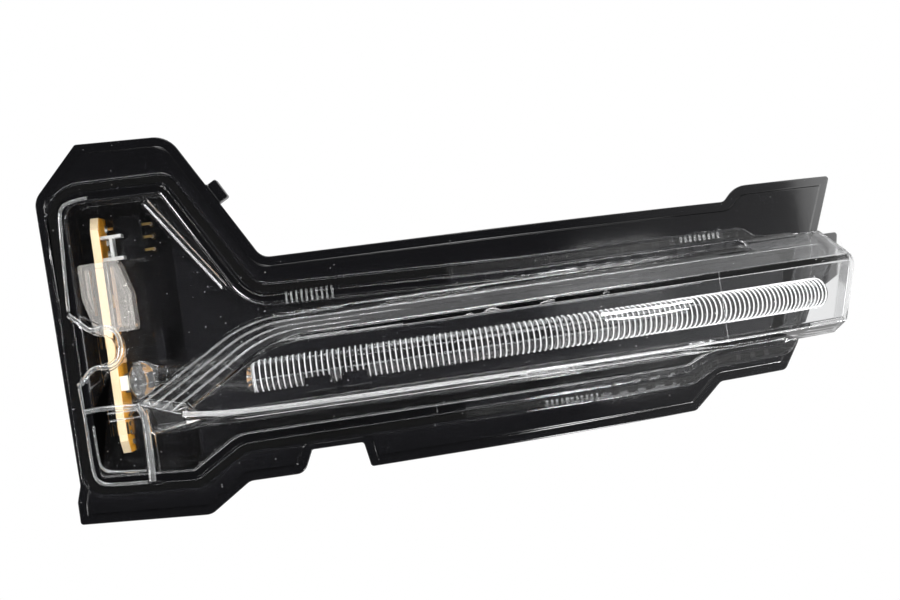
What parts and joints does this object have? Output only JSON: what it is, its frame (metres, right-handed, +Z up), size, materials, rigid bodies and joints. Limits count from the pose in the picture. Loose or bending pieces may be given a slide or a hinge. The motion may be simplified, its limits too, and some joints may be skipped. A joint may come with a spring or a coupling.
{
  "type": "mirror turn signal light",
  "caption": "Curved mirror turn signal light: black flanged housing, clear stepped lens with a raised pod, toothed light guide, and an edge-on board with its lamp chip.",
  "frame": {"origin": "middle of the two rear screw bosses, on their end faces", "axes": "+X along the arm towards its curved end, +Y back into the mirror out of the screw bosses, +Z up"},
  "size_m": [0.2031, 0.0676, 0.0948],
  "materials": {
    "black_housing": "glossy black moulded plastic with faint dust",
    "clear_lens": "polished clear moulded plastic",
    "seal_bead": "dark sealing bead",
    "clear_guide": "clear moulded light guide",
    "black_bezel": "glossy black moulded plastic",
    "board_laminate": "amber board face with cream cut edges",
    "led_package": "white lamp package",
    "chip_black": "moulded chip package",
    "ceramic_tan": "ceramic chip",
    "tinned_metal": "tinned metal",
    "milky_plastic": "milky translucent plastic",
    "pin_brass": "gold-coloured plated pin",
    "vent_film": "pale breather film"
  },
  "bodies": {
    "root": {"rear_housing": "black_housing", "outer_lens": "clear_lens", "lens_seal": "seal_bead", "light_guide": "clear_guide", "guide_carrier": "black_bezel", "circuit_board": "board_laminate", "signal_led": "led_package", "driver_chip": "chip_black", "chip_resistors": "chip_black", "chip_capacitors": "ceramic_tan", "protection_diode": "chip_black", "terminal_clip": "tinned_metal", "board_retainer": "milky_plastic", "connector_pins": "pin_brass", "solder_joints": "tinned_metal", "vent_membrane": "vent_film"}
  },
  "joints": []
}
